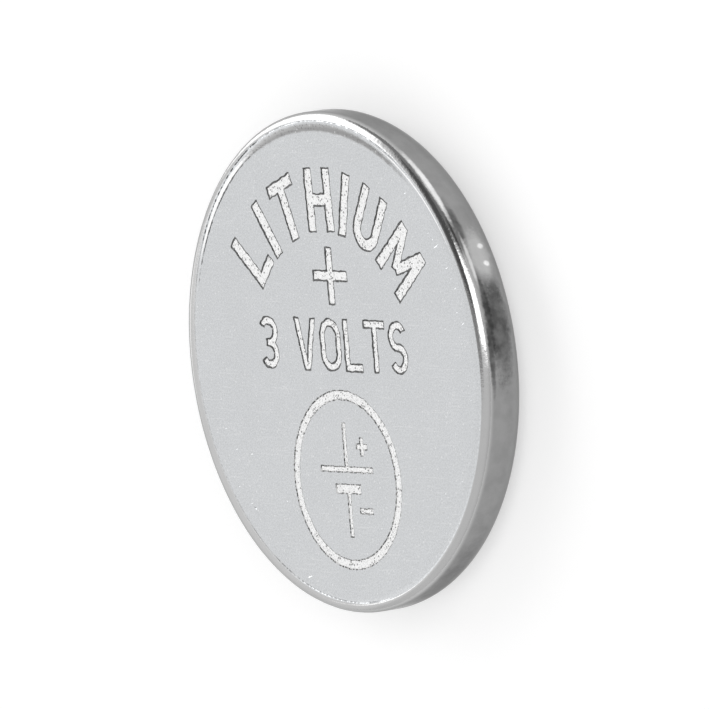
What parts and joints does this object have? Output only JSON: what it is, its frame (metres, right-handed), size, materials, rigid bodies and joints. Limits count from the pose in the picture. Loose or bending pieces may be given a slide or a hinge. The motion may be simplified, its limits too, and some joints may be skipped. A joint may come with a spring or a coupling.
{
  "type": "lithium coin cell",
  "caption": "Flat round lithium coin cell: a crimped steel can as the plus side, a plastic gasket and a steel cap as the minus side, with its sealed electrode stack inside.",
  "frame": {"origin": "centre of the minus face of the negative cap, on which the cell lies", "axes": "+Z along the cell's axis from the minus face to the plus face; +X to the right of the plus sign when the plus face is read upright, +Y upwards on it"},
  "size_m": [0.02, 0.02, 0.0025],
  "materials": {
    "can_steel": "nickel-plated stainless steel, fine satin grain",
    "cap_steel": "nickel-plated stainless steel, fine satin grain",
    "gasket_plastic": "natural polypropylene, milky",
    "cathode_mix": "pressed manganese dioxide and carbon, dull black",
    "grid_steel": "expanded stainless steel",
    "separator_fleece": "white polypropylene fleece",
    "lithium_metal": "soft rolled lithium metal, silver grey"
  },
  "bodies": {
    "root": {"positive_can": "can_steel", "negative_cap": "cap_steel", "sealing_gasket": "gasket_plastic", "cathode_pellet": "cathode_mix", "collector_grid": "grid_steel", "separator": "separator_fleece", "lithium_disc": "lithium_metal"}
  },
  "joints": []
}
